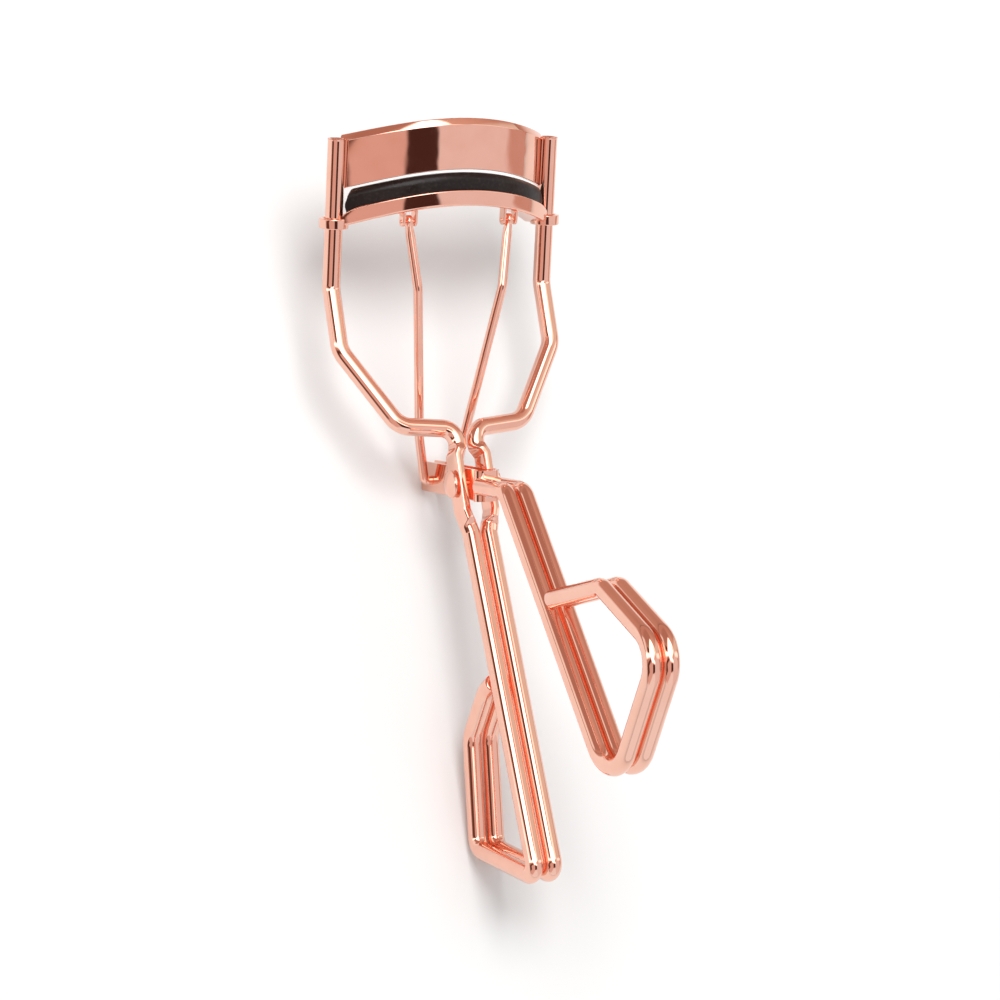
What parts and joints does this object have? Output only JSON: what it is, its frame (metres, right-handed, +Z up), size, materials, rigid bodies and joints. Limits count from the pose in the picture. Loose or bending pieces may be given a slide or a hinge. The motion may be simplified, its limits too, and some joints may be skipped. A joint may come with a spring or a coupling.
{
  "type": "eyelash curler",
  "caption": "Hand-held eyelash curler of polished plated wire: curved fixed jaw, sliding lower jaw with a black rubber pad, link wires, and a riveted lever with finger and thumb loops.",
  "frame": {"origin": "centre of the bounding box at its bottom, where the tool lies on its back on the lever's tail and the finger loop", "axes": "+X across the jaws toward the user's right, +Y along the tool toward the jaws, +Z up from the surface toward the thumb loop"},
  "size_m": [0.0368, 0.1036, 0.0582],
  "materials": {
    "rose_gold_plating": "mirror-polished rose-gold plating on steel",
    "black_rubber": "satin moulded rubber"
  },
  "bodies": {
    "frame": {"frame_wire_left": "rose_gold_plating", "frame_wire_right": "rose_gold_plating", "upper_jaw_plate": "rose_gold_plating", "pivot_rivet": "rose_gold_plating"},
    "lever": {"lever_bracket": "rose_gold_plating", "lever_wire_left": "rose_gold_plating", "lever_wire_right": "rose_gold_plating"},
    "jaw": {"lower_jaw": "rose_gold_plating", "rubber_pad": "black_rubber", "link_lug_inner_left": "rose_gold_plating", "link_lug_inner_right": "rose_gold_plating", "link_lug_outer_left": "rose_gold_plating", "link_lug_outer_right": "rose_gold_plating", "link_pin_left": "rose_gold_plating", "link_pin_right": "rose_gold_plating"},
    "links": {"link_wire_left": "rose_gold_plating", "link_wire_right": "rose_gold_plating"}
  },
  "joints": [
    {"name": "lever_pivot", "type": "hinge", "parent": "frame", "child": "lever", "pos_m": [0, 0.00348, 0.01331], "axis": [1, 0, 0], "range_deg": [-40, 1.6]},
    {"name": "jaw_slide", "type": "slide", "parent": "frame", "child": "jaw", "axis": [0, 0.9111, 0.4123], "range_m": [-0.00623, 0.00026]},
    {"name": "link_swing", "type": "hinge", "parent": "jaw", "child": "links", "pos_m": [0, 0.03878, 0.02081], "axis": [1, 0, 0], "range_deg": [-4.9, 0.2]}
  ],
  "couplings": [
    {"joint": "jaw_slide", "follows": "lever_pivot", "m_per_rad": 0.0089},
    {"joint": "link_swing", "follows": "lever_pivot", "ratio": 0.12}
  ]
}
